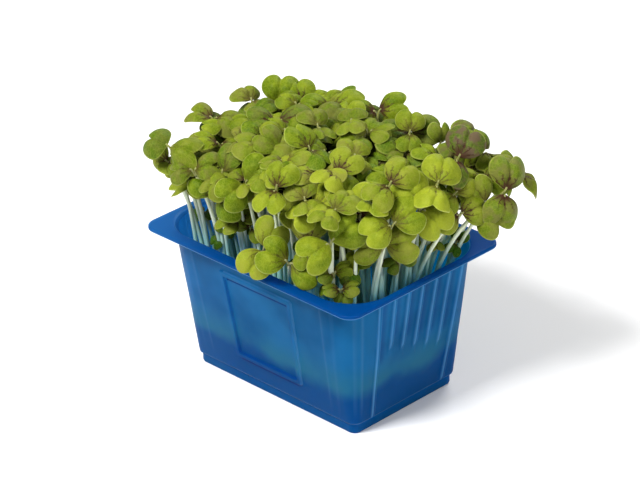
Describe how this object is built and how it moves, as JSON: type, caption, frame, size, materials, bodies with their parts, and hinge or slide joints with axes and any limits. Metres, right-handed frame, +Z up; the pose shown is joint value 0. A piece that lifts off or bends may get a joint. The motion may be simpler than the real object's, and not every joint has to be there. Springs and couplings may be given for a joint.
{
  "type": "microgreens tray",
  "caption": "See-through blue plastic tub with ears at its rim, holding a fibrous growing pad and a dense crowd of young mustard seedlings.",
  "frame": {"origin": "centre of the tray's foot, on the surface that the tray stands on", "axes": "+Z up, X along the tray's long side, -Y towards the front long wall, +X towards the ribbed short wall that is seen"},
  "size_m": [0.1166, 0.0838, 0.0982],
  "materials": {
    "tray_plastic": "gloss",
    "pad_fibre": "matte",
    "seedling_green": "satin"
  },
  "bodies": {
    "root": {"tray": "tray_plastic", "growing_pad": "pad_fibre", "clump_01": "seedling_green", "clump_02": "seedling_green", "clump_03": "seedling_green", "clump_04": "seedling_green", "clump_05": "seedling_green", "clump_06": "seedling_green", "clump_07": "seedling_green", "clump_08": "seedling_green", "clump_09": "seedling_green", "clump_10": "seedling_green", "clump_11": "seedling_green", "clump_12": "seedling_green", "clump_13": "seedling_green", "clump_14": "seedling_green", "clump_15": "seedling_green", "clump_16": "seedling_green", "clump_17": "seedling_green", "clump_18": "seedling_green", "clump_19": "seedling_green", "clump_20": "seedling_green", "clump_21": "seedling_green", "clump_22": "seedling_green", "clump_23": "seedling_green", "clump_24": "seedling_green", "clump_25": "seedling_green", "clump_26": "seedling_green", "clump_27": "seedling_green", "clump_28": "seedling_green", "clump_29": "seedling_green", "clump_30": "seedling_green", "clump_31": "seedling_green", "clump_32": "seedling_green", "clump_33": "seedling_green", "clump_34": "seedling_green", "clump_35": "seedling_green", "clump_36": "seedling_green", "clump_37": "seedling_green", "clump_38": "seedling_green", "clump_39": "seedling_green", "clump_40": "seedling_green", "clump_41": "seedling_green", "clump_42": "seedling_green", "clump_43": "seedling_green", "clump_44": "seedling_green", "clump_45": "seedling_green", "clump_46": "seedling_green", "clump_47": "seedling_green", "clump_48": "seedling_green"}
  },
  "joints": []
}
